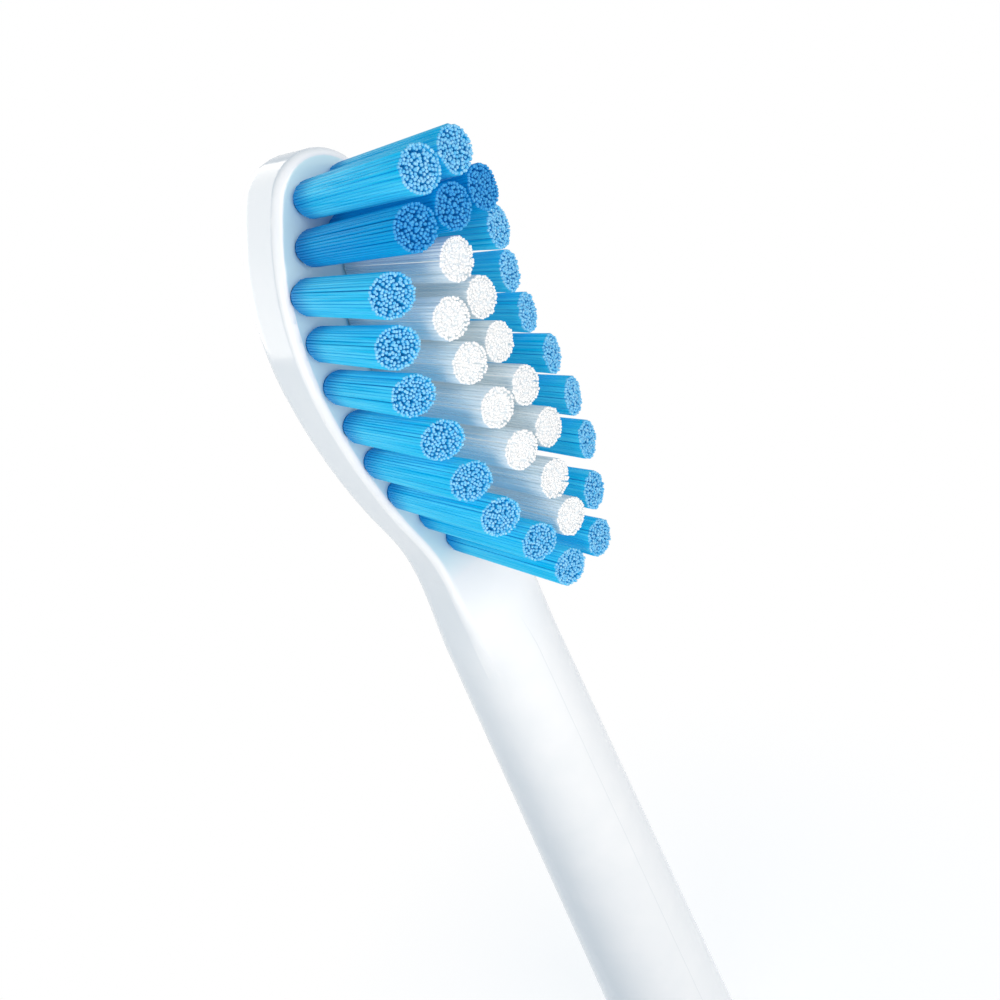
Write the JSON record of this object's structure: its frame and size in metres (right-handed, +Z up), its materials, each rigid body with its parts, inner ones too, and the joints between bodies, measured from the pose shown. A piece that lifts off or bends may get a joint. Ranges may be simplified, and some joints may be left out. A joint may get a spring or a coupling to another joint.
{
  "type": "electric toothbrush head",
  "caption": "Click-on sonic toothbrush head: tapered stem with a shaft socket, oval brush plate and crowned blue and white nylon tufts.",
  "frame": {"origin": "middle of the base, on the axis of the drive shaft's bore, at its mouth", "axes": "+Z up the stem to the tip of the head, -Y the way the tufts point, X across the head"},
  "size_m": [0.0102, 0.0156, 0.08],
  "materials": {
    "body_white": "polished moulding",
    "nylon_blue": "bundled filaments",
    "nylon_white": "bundled filaments",
    "anchor_brass": "sheared strip",
    "clip_steel": "bright rolled strip"
  },
  "bodies": {
    "root": {"head_body": "body_white", "shaft_clip": "clip_steel", "tuft_01_blue_left": "nylon_blue", "tuft_01_blue_right": "nylon_blue", "tuft_02_blue_left": "nylon_blue", "tuft_02_blue_middle": "nylon_blue", "tuft_02_blue_right": "nylon_blue", "tuft_03_blue_left": "nylon_blue", "tuft_03_blue_right": "nylon_blue", "tuft_03_white_middle": "nylon_white", "tuft_04_blue_left": "nylon_blue", "tuft_04_blue_right": "nylon_blue", "tuft_04_white_inner_left": "nylon_white", "tuft_04_white_inner_right": "nylon_white", "tuft_05_blue_left": "nylon_blue", "tuft_05_blue_right": "nylon_blue", "tuft_05_white_inner_left": "nylon_white", "tuft_05_white_inner_right": "nylon_white", "tuft_06_blue_left": "nylon_blue", "tuft_06_blue_right": "nylon_blue", "tuft_06_white_inner_left": "nylon_white", "tuft_06_white_inner_right": "nylon_white", "tuft_07_blue_left": "nylon_blue", "tuft_07_blue_right": "nylon_blue", "tuft_07_white_inner_left": "nylon_white", "tuft_07_white_inner_right": "nylon_white", "tuft_08_blue_left": "nylon_blue", "tuft_08_blue_right": "nylon_blue", "tuft_08_white_middle": "nylon_white", "tuft_09_blue_left": "nylon_blue", "tuft_09_blue_right": "nylon_blue", "tuft_09_white_middle": "nylon_white", "tuft_10_blue_left": "nylon_blue", "tuft_10_blue_right": "nylon_blue", "tuft_anchors": "anchor_brass"}
  },
  "joints": []
}
